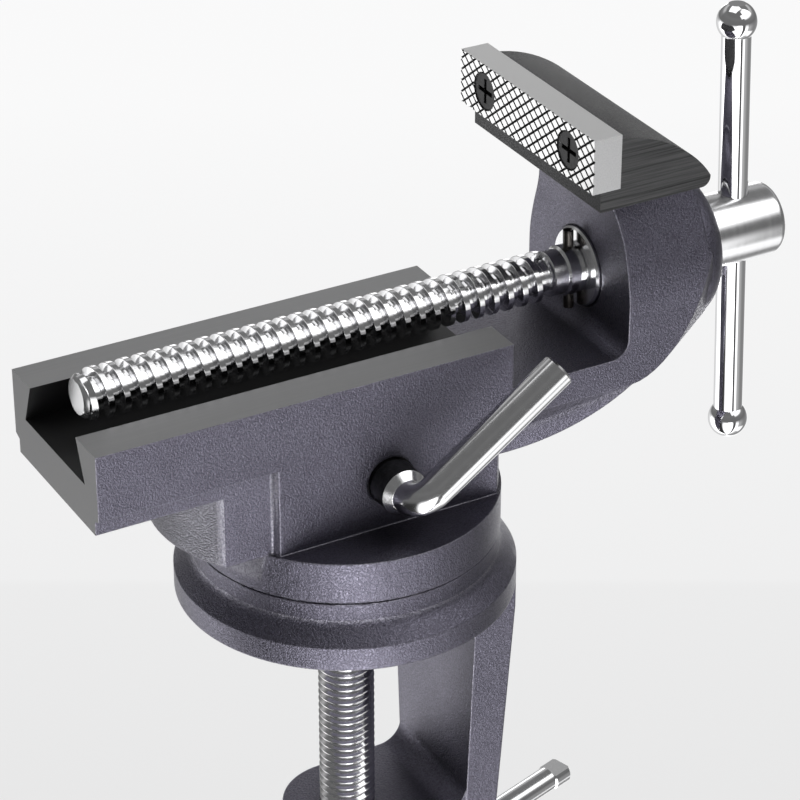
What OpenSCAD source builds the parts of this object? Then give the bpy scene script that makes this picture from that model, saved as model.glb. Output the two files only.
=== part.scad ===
// Mini bench vise: a cast body that swivels on a base, and a C-frame that
// clamps the base to a bench top. The origin is where the swivel axis meets
// the bench top. +X runs towards the fixed jaw and the T-handle, +Y away from
// the lock lever, +Z up.

/* [Bed] */
// Width of the bed over its side faces
bed_w = 45.9; // [44:0.1:52]
// Distance from the swivel axis to the open end of the bed
bed_reach = 73.75; // [66:0.25:90]
// Distance from the swivel axis to the end of the slot beside the arm
bed_end = 32.8; // [30:0.1:36]
// Height of the bed's machined top above the bench
bed_top = 65.85; // [64:0.05:67]
// Height of the flat side wall of the bed
bed_wall_h = 16.6; // [15:0.1:18]
// Height of the lip that hangs under the side wall
bed_lip_h = 3.5; // [2:0.1:5]
// How far the lip is set in from the side wall
bed_lip_set = 1.95; // [1:0.05:3]
// Drop of the slanted step between side wall and lip
bed_lip_drop = 0.9; // [0.5:0.1:1.5]
// Width of the dovetail slot at the bed's top
slot_top_w = 25.2; // [22:0.1:28]
// Width of the dovetail slot at its floor
slot_floor_w = 33; // [30:0.1:35]
// Depth of the dovetail slot
slot_depth = 10.15; // [9:0.05:10.5]
// Thickness of the slot floor over the pocket in the bed's underside
bed_floor_t = 6; // [5:0.1:8]
// Width of that pocket
bed_pocket_w = 22; // [14:1:32]
// Solid length left at each end of that pocket
bed_pocket_margin = 6; // [4:0.5:9]

/* [Swivel base] */
// Diameter of the base's rim
rim_d = 83.2; // [80:0.1:90]
// Height of the rim
rim_h = 5.9; // [4:0.1:7]
// Height of the cone above the rim
cone_h = 5.2; // [3:0.1:6]
// Diameter of the disc above the cone
base_d = 74.8; // [72:0.1:78]
// Height of the base, from the bench to the parting line
base_h = 15.5; // [14.5:0.1:17]
// Diameter of the spigot that centres the body on the base
spigot_d = 24; // [23:0.1:27]
// Length of that spigot
spigot_h = 2.5; // [2:0.1:3]
// Depth of the pocket under the base that takes the draw nut
nut_pocket_h = 8; // [7.8:0.1:9]
// Diameter of that pocket
nut_pocket_d = 23; // [20.5:0.5:30]
// Inner diameter of the friction washer
friction_in_d = 34; // [30:0.5:40]
// Outer diameter of the friction washer
friction_out_d = 62; // [54:0.5:68]
// Thickness of the friction washer
friction_t = 1.05; // [0.8:0.05:1.4]

/* [Pedestal] */
// Diameter of the body's flange
flange_d = 75.2; // [74.8:0.1:78]
// Height of the flange
flange_h = 11; // [9:0.1:12]
// Radius of the round ends of the pedestal, about the swivel axis
pedestal_r = 36.9; // [35:0.1:37.3]
// Radius of the round gusset under the bed
gusset_r = 36.2; // [33:0.1:38]
// Distance from the swivel axis to the gusset's own axis
gusset_shift = 12.5; // [8:0.1:15]
// Diameter of the hollow inside the pedestal
hollow_d = 20.8; // [19.8:0.1:21.4]

/* [Arm and neck] */
// How far the arm's top lies under the lead screw's axis
arm_drop = 14.2; // [13.6:0.1:16]
// How far the arm's straight side reaches under the lead screw's axis
arm_side_drop = 22.1; // [21:0.1:23]
// How far the arm's web reaches under the lead screw's axis
arm_low_drop = 35.4; // [34:0.1:37]
// Width of the arm's web below the bed
web_w = 32.8; // [28:0.1:36]
// Slant of the bevel between the arm's side and its web, height over width
web_bevel = 1.33; // [1:0.01:1.8]
// Distance from the swivel axis to the neck's front face
neck_front = 64.75; // [64.4:0.05:66]
// Distance from the neck's front face to the foot of its back
neck_foot_set = 1.45; // [1:0.05:3]
// Height over the lead screw's axis where the neck's back is widest
neck_back_rise = 9.8; // [7:0.1:12]
// Depth under the lead screw's axis where the neck's sides start to draw in
neck_draw_drop = 2.2; // [0:0.1:6]
// Height over the lead screw's axis where the neck's front starts to lean
neck_lean_rise = 11.8; // [11:0.1:16]
// Width of the neck under the jaw head
neck_top_w = 29; // [26:0.5:34]
// Radius of the fillet between arm and neck
arm_fillet_r = 4.5; // [3:0.1:5]
// Diameter of the rear boss around the lead screw
boss_d = 40; // [36:0.5:44]
// Distance from the swivel axis to the boss's rear face
boss_end = 97; // [95:0.1:100]
// How far the boss stands out behind the neck
boss_proud = 9.6; // [8:0.1:12]
// Rounding of the boss's rear edge
boss_round = 8.5; // [5:0.1:8.8]
// Width of the bulge under the boss
bulge_w = 28; // [20:0.5:36]
// How far that bulge stays in front of the boss's rear face
bulge_set = 2; // [1.5:0.1:5]
// Drop of the bulge's top under the lead screw's axis
bulge_drop = 6; // [4:0.1:10]

/* [Jaw] */
// Width of the jaw plate
jaw_w = 60; // [56:0.5:66]
// Width of the jaw head, whose near end is flush with the plate's
head_w = 56.6; // [53:0.1:60]
// Distance from the swivel axis to the plate's gripping face
plate_front = 48.65; // [48:0.05:49.5]
// Thickness of the jaw plate
plate_t = 7.45; // [7:0.05:9]
// Height of the jaw plate
plate_h = 13.45; // [12.5:0.05:14.5]
// Height of the jaw head's flat underside over the lead screw's axis
head_rise = 30.3; // [29:0.1:32]
// Height of the ledge that the plate stands on
ledge_h = 4.9; // [4:0.1:6]
// How far the ledge stays behind the gripping face
ledge_set = 2.15; // [1:0.05:3]
// Height of the jaw head behind the plate
head_h = 17.4; // [16.5:0.1:18.3]
// Distance from the swivel axis to the back of the jaw head
head_back = 80.9; // [79:0.1:84]
// Height of the jaw head's back edge over its underside
head_back_h = 2.7; // [2.4:0.1:4]
// Rounding of the jaw head's lower back edge
head_round = 2.3; // [1.5:0.1:2.4]
// Spacing of the knurl's grooves
knurl_pitch = 2.3; // [2:0.1:3.5]
// Angle of the grooves to the plate's length
knurl_angle = 38; // [30:1:45]
// Half width of a groove at the face
knurl_half = 0.3; // [0.2:0.05:0.45]
// Depth of a groove
knurl_depth = 0.4; // [0.2:0.05:0.6]
// Distance between the two jaw screws
jaw_screw_span = 37.6; // [34:0.1:42]
// Thread diameter of the jaw screws
jaw_screw_d = 5; // [4:0.5:6]
// Head diameter of the jaw screws
jaw_head_d = 9; // [8:0.1:10]
// Length of the jaw screws
jaw_screw_l = 16; // [14:0.5:20]
// Depth of the cross slot in their heads
cross_depth = 1.6; // [1:0.1:2]
// Span of the cross slot
cross_span = 6.2; // [4:0.1:7]
// Width of the cross slot
cross_w = 1.1; // [0.8:0.05:1.4]

/* [Lead screw] */
// Height of the lead screw's axis over the bed's top
screw_rise = 2.35; // [1.8:0.05:4]
// Thread diameter of the lead screw
lead_d = 12.2; // [11.5:0.1:12.6]
// Root diameter of its thread
lead_root_d = 8.2; // [7.6:0.1:8.8]
// Pitch of its thread
lead_pitch = 4; // [3.5:0.05:4.5]
// Diameter of the plain shaft
shaft_d = 11.2; // [10.8:0.1:11.4]
// Distance from the swivel axis to the screw's tip
tip_reach = 67.8; // [62:0.1:72]
// Diameter of the tip
tip_d = 10.4; // [9:0.1:11]
// Length of the plain tip
tip_h = 1.6; // [1.2:0.1:2]
// Chamfer of the tip
tip_edge = 0.8; // [0.4:0.1:1]
// Length of the bare shaft in front of the stop collar
shaft_bare = 3.65; // [2:0.05:6]
// Wall of the stop collar
collar_t = 0.6; // [0.5:0.05:2]
// Length of the stop collar
collar_l = 4.9; // [4.7:0.1:5.4]
// Distance from the collar's neck end to the retaining pin
pin_set = 1.8; // [1.7:0.1:2.6]
// Outer diameter of the retaining pin
pin_d = 2.6; // [2.2:0.1:3]
// Bore of the retaining pin
pin_bore_d = 1.5; // [1:0.1:1.7]
// Length of the retaining pin
pin_l = 20.2; // [18:0.1:22]
// Outer diameter of the screw's bush
bush_d = 20; // [18:0.1:22]
// How far the bush stands out of the neck
bush_proud = 1.05; // [0.5:0.05:1.2]
// Chamfer around the bush in the neck
bush_chamfer = 0.45; // [0.3:0.05:1]
// Thickness of the thrust washer
thrust_t = 1.5; // [1:0.1:2]
// Diameter of the screw's head
lead_head_d = 18.6; // [17:0.1:19]
// Length of the screw's head
lead_head_l = 21.25; // [19:0.05:24]
// Rounding of the head's edges
lead_head_round = 2.2; // [0.8:0.1:2.6]
// Distance from the head's end to the T-bar's axis
bar_set = 10.5; // [8.5:0.1:11]

/* [T-handle] */
// Diameter of the T-bar
handle_d = 7.4; // [7:0.1:8]
// Distance between the centres of the two balls
handle_span = 106.9; // [96:0.1:120]
// Diameter of the balls
ball_d = 10.04; // [9.8:0.02:11]
// Flat cut off the end of each ball
ball_flat = 0.5; // [0.2:0.05:0.7]
// Lean of the handle about the screw's axis
handle_lean = 3; // [-10:1:10]

/* [Cam lock] */
// How far the lock shaft's axis lies under the bed's top
cam_drop = 27.05; // [26.6:0.05:27.5]
// Diameter of the lock shaft in its bushes
cam_shaft_d = 10.4; // [10.2:0.1:10.8]
// Diameter of the knob on the shaft's front end
knob_d = 11.6; // [11.4:0.1:12.4]
// Gap between the knob and the body's side
knob_gap = 1; // [0.5:0.1:1.5]
// Diameter of the eccentric journal
journal_d = 9.2; // [8.8:0.1:9.4]
// Offset of the eccentric journal
throw = 0.5; // [0.3:0.05:0.6]
// Direction of that offset, from +X towards +Z
throw_angle = 145; // [135:1:150]
// Width of the eccentric journal
journal_w = 10; // [9.6:0.1:11]
// Wall of the two lock bushes
lock_bush_t = 0.75; // [0.6:0.05:1]
// How far the bushes are set into the body's sides
lock_bush_set = 0.6; // [0.3:0.1:1]
// How far the shaft stands out of the side
cam_out = 8.35; // [7.5:0.05:9]
// Length of the shaft's front chamfer
cam_chamfer = 1.75; // [1:0.05:2]
// Diameter of the lever
lever_d = 8.2; // [7.6:0.1:8.4]
// Bend radius of the lever's centre line
lever_bend = 5.2; // [4.6:0.1:6]
// Reach of the lever from the shaft's axis
lever_l = 45.4; // [40:0.1:52]
// Rise of the lever from the horizontal
lever_rise = 35.3; // [20:0.1:50]
// Depth of the lever's seat in the shaft
lever_seat = 8; // [6:0.5:9]
// Thickness of the shaft's clip
clip_t = 1; // [0.8:0.05:1.2]
// Outer diameter of that clip
clip_d = 16; // [14:0.5:17]

/* [Draw bolt] */
// Diameter of the draw bolt
draw_d = 8; // [7:0.1:8.4]
// Outer diameter of its eye
eye_d = 16.4; // [16:0.1:16.8]
// Distance from the bench up to the bolt's end
draw_end = 0.9; // [0.7:0.1:1]
// Width across the flats of its nut
draw_nut_w = 13; // [12:0.1:14]
// Height of its nut
draw_nut_h = 5.4; // [4:0.1:5.6]
// Outer diameter of its disc spring
spring_d = 18; // [17:0.5:20]
// Thickness of the disc spring
spring_t = 0.9; // [0.7:0.05:1]
// Cone height of the disc spring
spring_rise = 0.5; // [0.3:0.05:0.6]

/* [Clamp frame] */
// Distance from the swivel axis to the back bar's inner face
bar_in = 24.9; // [23:0.1:27]
// Distance from the swivel axis to the back bar's outer face at the bench
bar_out = 36.4; // [35:0.1:38]
// How far the outer face leans in over the throat's height
bar_lean = 2.4; // [1:0.1:4]
// Width of the back bar at the bench
bar_w = 42.6; // [38:0.1:46]
// Width of the back bar at the lower arm
bar_low_w = 34.2; // [33.2:0.1:38]
// Clear height from the bench face to the lower arm
throat_h = 68; // [60:0.5:78]
// Thickness of the lower arm
low_arm_t = 15; // [12:0.5:18]
// Diameter of the boss around the clamp screw
low_boss_d = 32.9; // [28:0.1:33.1]
// Inner fillet of the frame
throat_fillet = 6; // [4:0.5:8]
// Rounding of the frame's lower outer corner
frame_round = 12; // [8:0.5:14]

/* [Clamp screw] */
// Thread diameter of the clamp screw
clamp_d = 14; // [13:0.1:14.6]
// Root diameter of its thread
clamp_root_d = 11.8; // [11.2:0.1:12.4]
// Pitch of its thread
clamp_pitch = 2; // [1.75:0.05:2.5]
// Distance from the bench down to the screw's head
clamp_l = 93.8; // [90:0.1:98]
// Diameter of the screw's head
clamp_head_d = 18; // [16:0.1:20]
// Length of the screw's head
clamp_head_l = 18.2; // [16:0.1:20]
// Distance from the top of the screw's head to the lower bar's axis
low_bar_set = 9.5; // [7:0.1:11]
// Diameter of the lower bar
low_bar_d = 6.7; // [6:0.1:7]
// Reach of the lower bar's far end from the screw
low_bar_reach = 84.3; // [70:0.1:100]
// Length of the lower bar
low_bar_l = 120; // [100:1:140]
// Direction of the lower bar, from +X towards +Y
low_bar_turn = 17.4; // [0:0.1:45]
// Length of the bar's pressed ends
press_l = 6.2; // [5:0.1:9]
// Thickness of the pressed ends
press_t = 4.4; // [3.6:0.1:5]
// Width of the pressed ends
press_w = 7.3; // [7.1:0.1:9]

/* [Clamp pad] */
// Distance from the bench down to the pad's top
pad_gap = 4; // [3.5:0.1:6]
// Diameter of the pad
pad_d = 26; // [22:0.5:30]
// Thickness of the pad's plate
pad_t = 3.6; // [3:0.1:4.4]
// Height of the pad, hub included
pad_h = 9; // [8:0.1:10]
// Diameter of the pad's hub
pad_hub_d = 17; // [15.5:0.1:18]
// Diameter of the screw's tip in the hub
nose_d = 9.8; // [9:0.1:10.4]
// Length of that tip
nose_l = 6.6; // [6.2:0.1:7]
// Thickness of the pad's snap ring
ring_t = 1; // [0.8:0.05:1.2]
// How deep the snap ring sits in the tip and in the hub
ring_bite = 0.9; // [0.6:0.05:1.1]

/* [Fits] */
// Radial clearance of parts that turn or slide in one another
run_gap = 0.06; // [0.03:0.01:0.08]
// Radial clearance of parts that are pressed together
press_gap = 0.02; // [0.01:0.01:0.04]
// End clearance between parts that turn against each other
face_gap = 0.15; // [0.1:0.01:0.2]
// Chamfer along the parting line between body and base
part_chamfer = 0.5; // [0.2:0.05:0.8]
// Height of the parting gap between body and base
part_gap = 0.05; // [0.02:0.01:0.1]

/* [Hidden] */
$fn = 96;

// Length by which a cut runs past the face it opens
over = 1;
// Steps of a curve or an arc
curve_steps = 14;
// Columns around a thread
thread_columns = 24;
// Share of the pitch by which a thread's end rings clear its own rows
thread_step_share = 0.05;
// Share of the pitch by which the lead screw's thread runs into the plain shaft
thread_run_in_share = 0.25;
// Shares of the pitch and of the depth along one turn of each thread
lead_profile_shares = [[0, 0.02], [0.13, 1], [0.49, 1], [0.62, 0]];
clamp_profile_shares = [[0, 0], [0.44, 1], [0.56, 1]];

cast_paint = [0.36, 0.35, 0.40];
ground_steel = [0.72, 0.72, 0.74];
bright_steel = [0.85, 0.85, 0.87];
dark_steel = [0.16, 0.16, 0.17];

// Bed
bed_half = bed_w / 2;
wall_z = bed_top - bed_wall_h;
lip_half = bed_half - bed_lip_set;
lip_z = wall_z - bed_lip_drop - bed_lip_h;
slot_floor_z = bed_top - slot_depth;
slot_slope = (slot_floor_w - slot_top_w) / 2 / slot_depth;
screw_z = bed_top + screw_rise;
cam_z = bed_top - cam_drop;

// Arm and neck
arm_top = screw_z - arm_drop;
arm_side_z = screw_z - arm_side_drop;
arm_low_z = screw_z - arm_low_drop;
neck_back = boss_end - boss_proud;
neck_foot = neck_front + neck_foot_set;
neck_back_z = screw_z + neck_back_rise;
neck_draw_z = screw_z - neck_draw_drop;
neck_lean_z = screw_z + neck_lean_rise;

// Swivel
flange_z = base_h + part_gap;
flange_top = flange_z + flange_h;
rim_r = rim_d / 2;
base_r = base_d / 2;
spigot_r = spigot_d / 2;
hollow_r = hollow_d / 2;
draw_r = draw_d / 2;

// Shares of the box between two ends of a curve, where its two control points lie
neck_low_shares = [[0.467, 0.013], [1, 0.5]];
neck_high_shares = [[0, 0.39], [0.257, 0.78]];
neck_front_shares = [[0, 0.43], [0.604, 0.7]];
neck_side_shares = [[0, 0.31], [0.751, 0.646]];
head_top_shares = [[0.4, 0.061], [0.823, 0.503]];
web_shares = [[0.26, 0.55], [0.616, 0.913]];
bulge_shares = [[-0.045, 0.416], [0.28, 0.95]];
// The same control points for a curve drawn from its other end
function reversed(shares) = [[1, 1] - shares[1], [1, 1] - shares[0]];
// How far the neck's top leans forward of its front face
neck_lean = 4.55;
// Thickness of the neck where it meets the jaw head
neck_top_t = 19.8;
// Growth of the web's half width along X
web_grow = (bed_half - web_w / 2) / (neck_foot - bed_end);

// Jaw
head_z = screw_z + head_rise;
head_crest_z = head_z + head_h;
plate_back = plate_front + plate_t;
ledge_top = head_z + ledge_h;
plate_z = ledge_top + part_gap;
plate_mid = plate_z + plate_h / 2;
head_front = plate_front + ledge_set;
jaw_screw_r = jaw_screw_d / 2;
jaw_head_r = jaw_head_d / 2;
// Depth of the screw heads under the gripping face
head_sink = 0.3;
// Radial gap around the screw heads in their countersinks
sink_gap = 0.3;

// Lead screw
shaft_r = shaft_d / 2;
bush_r = bush_d / 2;
bush_front = neck_front - bush_proud;
collar_end = bush_front - face_gap;
collar_start = collar_end - collar_l;
pin_x = collar_end - pin_set;
shaft_start = collar_start - shaft_bare;
collar_d = shaft_d + 2 * collar_t;
pin_r = pin_d / 2;
// Width of the retaining pin's slit
pin_slit = 0.5;
head_start = boss_end + thrust_t + face_gap;
lead_head_end = head_start + lead_head_l;
handle_x = lead_head_end - bar_set;
handle_r = handle_d / 2;
ball_r = ball_d / 2;
// Length of the T-bar beyond the centre of a ball
ball_grip = 2;

// Cam lock
cam_r = cam_shaft_d / 2;
journal_r = journal_d / 2;
lock_bush_r = cam_r + run_gap + lock_bush_t;
cam_front = -bed_half - cam_out;
lever_r = lever_d / 2;
eye_z = cam_z + throw * sin(throw_angle);
// Depth of the groove for the shaft's clip
clip_groove = 1.1;
// Length of the shaft beyond that groove
clip_tail = 1.9;
// How much thinner the lever is inside the shaft
lever_neck = 0.5;
// Half length by which the eye's hole is drawn out sideways
eye_slot = throw + run_gap;
eye_r = eye_d / 2;
// Side gap between the eye and the ends of its journal
eye_side = 0.5;
eye_w = journal_w - 2 * eye_side;
// Room over the eye, up to the hollow's ceiling
hollow_room = 2;
hollow_top = eye_z + eye_r + hollow_room;
clip_groove_r = cam_r - clip_groove;
clip_y = bed_half + face_gap;
clip_end = clip_y + clip_t + 2 * part_gap;
// Chamfer of small turned edges
edge = 0.5;

// Base pocket
spring_top = nut_pocket_h - part_gap;
nut_top = spring_top - spring_t - spring_rise - part_gap;

// Clamp
clamp_r = clamp_d / 2;
// How far the clamp screw's core stays under the root of its thread
core_set = 0.2;
pad_top = -pad_gap;
pad_low = pad_top - pad_h;
nose_r = nose_d / 2;
nose_top = pad_low + nose_l;
// Height of the snap ring's middle over the pad's lower face
ring_rise = 2.2;
ring_z = pad_low + ring_rise;
ring_in_r = nose_r - ring_bite;
ring_out_r = nose_r + ring_bite;
arm_low = -throat_h;
frame_low = arm_low - low_arm_t;
low_bar_r = low_bar_d / 2;
low_bar_z = clamp_l + low_bar_set;

// Points of a curve from a to b, its control points given as shares of their box
function bow(a, b, shares) = [
    for (i = [0 : curve_steps])
        let (t = i / curve_steps, u = 1 - t)
        let (p = [a.x + shares[0].x * (b.x - a.x), a.y + shares[0].y * (b.y - a.y)])
        let (q = [a.x + shares[1].x * (b.x - a.x), a.y + shares[1].y * (b.y - a.y)])
        u * u * u * a + 3 * u * u * t * p + 3 * u * t * t * q + t * t * t * b
];

// Points of an arc about c
function arc(c, r, from, to) = [
    for (i = [0 : curve_steps])
        let (angle = from + (to - from) * i / curve_steps)
        c + r * [cos(angle), sin(angle)]
];

// An outline that runs down its right side, closed by its mirror image
function mirrored(p) = concat(p, [for (i = [len(p) - 1 : -1 : 0]) [-p[i].x, p[i].y]]);

// The same for an outline seen from above, closed by its mirror image in Y
function mirrored_plan(p) = concat(p, [for (i = [len(p) - 1 : -1 : 0]) [p[i].x, -p[i].y]]);

// A side view drawn in X and Z, as wide as w
module across(w) {
    rotate([90, 0, 0])
        linear_extrude(w, center = true)
            children();
}

// A front view drawn in Y and Z, from x0 to x1
module along(x0, x1) {
    translate([x0, 0, 0])
        rotate([90, 0, 90])
            linear_extrude(x1 - x0)
                children();
}

module pin_along_x(x0, x1, r) {
    translate([x0, 0, 0])
        rotate([0, 90, 0])
            cylinder(h = x1 - x0, r = r);
}

module pin_along_y(y0, y1, r) {
    translate([0, y0, 0])
        rotate([-90, 0, 0])
            cylinder(h = y1 - y0, r = r);
}

module pin_along_z(z0, z1, r) {
    translate([0, 0, z0])
        cylinder(h = z1 - z0, r = r);
}

module ring_along_z(z0, z1, r_in, r_out) {
    difference() {
        pin_along_z(z0, z1, r_out);
        pin_along_z(z0 - over, z1 + over, r_in);
    }
}

// A cylinder along X with both edges chamfered by c
module chamfered_x(x0, x1, r, c) {
    translate([x0, 0, 0])
        rotate([0, 90, 0])
            rotate_extrude()
                polygon([[0, 0], [r - c, 0], [r, c], [r, x1 - x0 - c], [r - c, x1 - x0], [0, x1 - x0]]);
}

// One closed helical thread along Z, starting at z = 0. profile is one pitch of
// it, as pairs of a share of the pitch and a share of the thread's depth. The
// radius stays under a chamfer that starts at r_first and ends at r_last.
module thread(root_r, crest_r, pitch, turns, profile, r_first, r_last) {
    n = thread_columns;
    p = len(profile);
    rows = p * turns;
    top = pitch * (turns + 1);
    step = thread_step_share * pitch;
    side = concat(
        [for (m = [0 : rows], j = [0 : n - 1])
            let (z = pitch * (floor(m / p) + profile[m % p][0] + j / n))
            let (r = root_r + (crest_r - root_r) * profile[m % p][1])
            let (lim = min(r_first + z, r_last + top - z))
            [min(r, lim) * cos(360 * j / n), min(r, lim) * sin(360 * j / n), z]],
        [for (z = [-step, top + step], j = [0 : n - 1])
            [(root_r - step) * cos(360 * j / n), (root_r - step) * sin(360 * j / n), z]]
    );
    low = (rows + 1) * n;
    high = low + n;
    skin = [for (m = [0 : rows - 1], j = [0 : n - 2])
        [m * n + j, (m + 1) * n + j, (m + 1) * n + j + 1, m * n + j + 1]];
    wrap = [for (m = [0 : rows - p - 1])
        [m * n + n - 1, (m + 1) * n + n - 1, (m + 1 + p) * n, (m + p) * n]];
    foot = [for (j = [0 : n - 2]) [low + j, j, j + 1, low + j + 1]];
    foot_wrap = [[low + n - 1, n - 1, p * n, low]];
    foot_face = [concat([low], [for (m = [p : -1 : 0]) m * n])];
    cap = [for (j = [0 : n - 2])
        [rows * n + j, high + j, high + j + 1, rows * n + j + 1]];
    cap_wrap = [[(rows - p) * n + n - 1, high + n - 1, high, rows * n]];
    cap_face = [concat([for (m = [rows - p : rows]) m * n + n - 1], [high + n - 1])];
    quads = concat(skin, wrap, foot, foot_wrap, cap, cap_wrap);
    triangles = [for (q = quads, half = [0, 1])
        half == 0 ? [q[0], q[1], q[2]] : [q[0], q[2], q[3]]];
    ends = [[for (j = [0 : n - 1]) low + j], [for (j = [n - 1 : -1 : 0]) high + j]];
    polyhedron(side, concat(triangles, foot_face, cap_face, ends), convexity = 10);
}

module bed_block() {
    along(-bed_reach, bed_end)
        polygon(mirrored([
            [bed_half, bed_top],
            [bed_half, wall_z],
            [lip_half, wall_z - bed_lip_drop],
            [lip_half, lip_z]
        ]));
}

module slot_cut() {
    along(-bed_reach - over, bed_end + over)
        polygon(mirrored([
            [slot_top_w / 2 - slot_slope * over, bed_top + over],
            [slot_floor_w / 2, slot_floor_z]
        ]));
}

// Pocket in the bed's underside between its open end and the gusset
module bed_pocket_cut() {
    x0 = -bed_reach + bed_pocket_margin;
    x1 = -gusset_shift - gusset_r - bed_pocket_margin / 2;
    translate([x0, -bed_pocket_w / 2, lip_z - over])
        cube([x1 - x0, bed_pocket_w, slot_floor_z - bed_floor_t - lip_z + over]);
}

module pedestal_block() {
    rotate_extrude()
        polygon([
            [0, flange_z],
            [flange_d / 2 - part_chamfer, flange_z],
            [flange_d / 2, flange_z + part_chamfer],
            [flange_d / 2, flange_top],
            [0, flange_top]
        ]);
    pin_along_z(flange_z - spigot_h, flange_top, spigot_r);
    intersection() {
        pin_along_z(flange_top, slot_floor_z - over, pedestal_r);
        translate([-pedestal_r, -bed_half, flange_z])
            cube([2 * pedestal_r, bed_w, bed_top]);
    }
    intersection() {
        translate([-gusset_shift, 0, 0])
            pin_along_z(flange_top, wall_z - bed_lip_drop, gusset_r);
        translate([-gusset_shift - gusset_r, -lip_half, flange_z])
            cube([2 * gusset_r, 2 * lip_half, bed_top]);
    }
}

// Side view of the neck, from its foot on the arm up to the jaw head
module neck_side_view() {
    neck_top_back = [neck_front - neck_lean + neck_top_t, head_z];
    polygon(concat(
        [[bed_end - over, arm_side_z]],
        [[bed_end - over, arm_top]],
        arc([neck_front - arm_fillet_r, arm_top + arm_fillet_r], arm_fillet_r, -90, 0),
        bow([neck_front, neck_lean_z], [neck_front - neck_lean, head_z], neck_front_shares),
        [[neck_front - neck_lean, head_z + over], neck_top_back + [0, over]],
        bow(neck_top_back, [neck_back, neck_back_z], reversed(neck_high_shares)),
        bow([neck_back, neck_back_z], [neck_foot, arm_side_z], reversed(neck_low_shares))
    ));
}

module neck_block() {
    intersection() {
        union() {
            across(bed_w)
                neck_side_view();
            neck_bulge();
        }
        along(bed_end - 2 * over, boss_end)
            polygon(mirrored(concat(
                bow([neck_top_w / 2, head_z + over], [bed_half, neck_draw_z],
                    reversed(neck_side_shares)),
                [[bed_half, arm_side_z - over]]
            )));
    }
}

// The neck's back bulges between its sides, under the boss
module neck_bulge() {
    hull() {
        across(bed_w)
            polygon(concat(
                bow([neck_back, neck_back_z], [neck_foot, arm_side_z], reversed(neck_low_shares)),
                [[neck_foot, neck_back_z]]
            ));
        across(bulge_w)
            polygon(concat(
                bow([boss_end - bulge_set, screw_z - bulge_drop], [neck_foot, arm_side_z],
                    bulge_shares),
                [[neck_foot, screw_z - bulge_drop]]
            ));
    }
}

// Web under the arm: it widens from the bed towards the neck
module web_block() {
    intersection() {
        across(bed_w)
            polygon(concat(
                [[0, arm_side_z + over], [neck_foot, arm_side_z + over]],
                bow([neck_foot, arm_side_z], [bed_end, arm_low_z], web_shares),
                [[0, arm_low_z]]
            ));
        union() {
            along(0, neck_foot)
                polygon(mirrored([
                    [bed_half, arm_side_z + over],
                    [bed_half, arm_side_z],
                    [bed_half - (arm_side_z - arm_low_z) / web_bevel, arm_low_z]
                ]));
            linear_extrude(bed_top)
                polygon(mirrored_plan([
                    [0, web_w / 2 - web_grow * bed_end],
                    [neck_foot, web_w / 2 + web_grow * (neck_foot - bed_end)]
                ]));
        }
    }
}

module rear_boss() {
    r = boss_d / 2;
    l = boss_end - neck_front;
    translate([neck_front + over, 0, screw_z])
        rotate([0, 90, 0])
            rotate_extrude()
                polygon(concat(
                    [[0, 0], [r, 0]],
                    arc([r - boss_round, l - over - boss_round], boss_round, 0, 90),
                    [[0, l - over]]
                ));
}

module jaw_head() {
    translate([0, (head_w - jaw_w) / 2, 0])
        across(head_w)
            polygon(concat(
                [[head_front, head_z], [head_front, ledge_top], [plate_back, ledge_top]],
                bow([plate_back, head_crest_z], [head_back, head_z + head_back_h], head_top_shares),
                arc([head_back - head_round, head_z + head_round], head_round, 0, -90)
            ));
}

module vise_body() {
    color(cast_paint)
        difference() {
            union() {
                bed_block();
                pedestal_block();
                neck_block();
                web_block();
                rear_boss();
                jaw_head();
            }
            slot_cut();
            bed_pocket_cut();
            pin_along_z(flange_z - spigot_h - over, hollow_top, hollow_r);
            translate([0, 0, cam_z])
                pin_along_y(-bed_half - over, bed_half + over, lock_bush_r + press_gap);
            translate([0, 0, screw_z]) {
                pin_along_x(neck_front - over, boss_end + over, bush_r + press_gap);
                translate([neck_front, 0, 0])
                    rotate([0, 90, 0])
                        cylinder(h = bush_chamfer, r1 = bush_r + bush_chamfer, r2 = bush_r);
            }
            for (side = [-1, 1])
                translate([0, side * jaw_screw_span / 2, plate_mid])
                    pin_along_x(plate_back - over, plate_front + jaw_screw_l + over,
                        jaw_screw_r + press_gap);
        }
}

// One groove of the knurl, along Y
module knurl_groove() {
    spread = knurl_half * (1 + over / knurl_depth);
    across(2 * jaw_w)
        polygon([[-over, -spread], [knurl_depth, 0], [-over, spread]]);
}

module jaw_plate() {
    reach = (jaw_w * sin(knurl_angle) + plate_h * cos(knurl_angle)) / 2;
    lines = ceil(reach / knurl_pitch);
    color(ground_steel)
        difference() {
            translate([plate_front, -jaw_w / 2, plate_z])
                cube([plate_t, jaw_w, plate_h]);
            for (side = [-1, 1])
                translate([0, side * jaw_screw_span / 2, plate_mid]) {
                    pin_along_x(plate_front - over, plate_back + over, jaw_screw_r + press_gap);
                    translate([plate_front - over, 0, 0])
                        rotate([0, 90, 0])
                            cylinder(h = over + head_sink, r = jaw_head_r + sink_gap);
                    translate([plate_front + head_sink, 0, 0])
                        rotate([0, 90, 0])
                            cylinder(h = jaw_head_r - jaw_screw_r, r1 = jaw_head_r + sink_gap,
                                r2 = jaw_screw_r + press_gap);
                }
            for (side = [-1, 1], i = [-lines : lines - 1])
                translate([plate_front, 0, plate_mid])
                    rotate([side * knurl_angle, 0, 0])
                        translate([0, 0, (i + 1 / 2) * knurl_pitch])
                            knurl_groove();
        }
}

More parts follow.
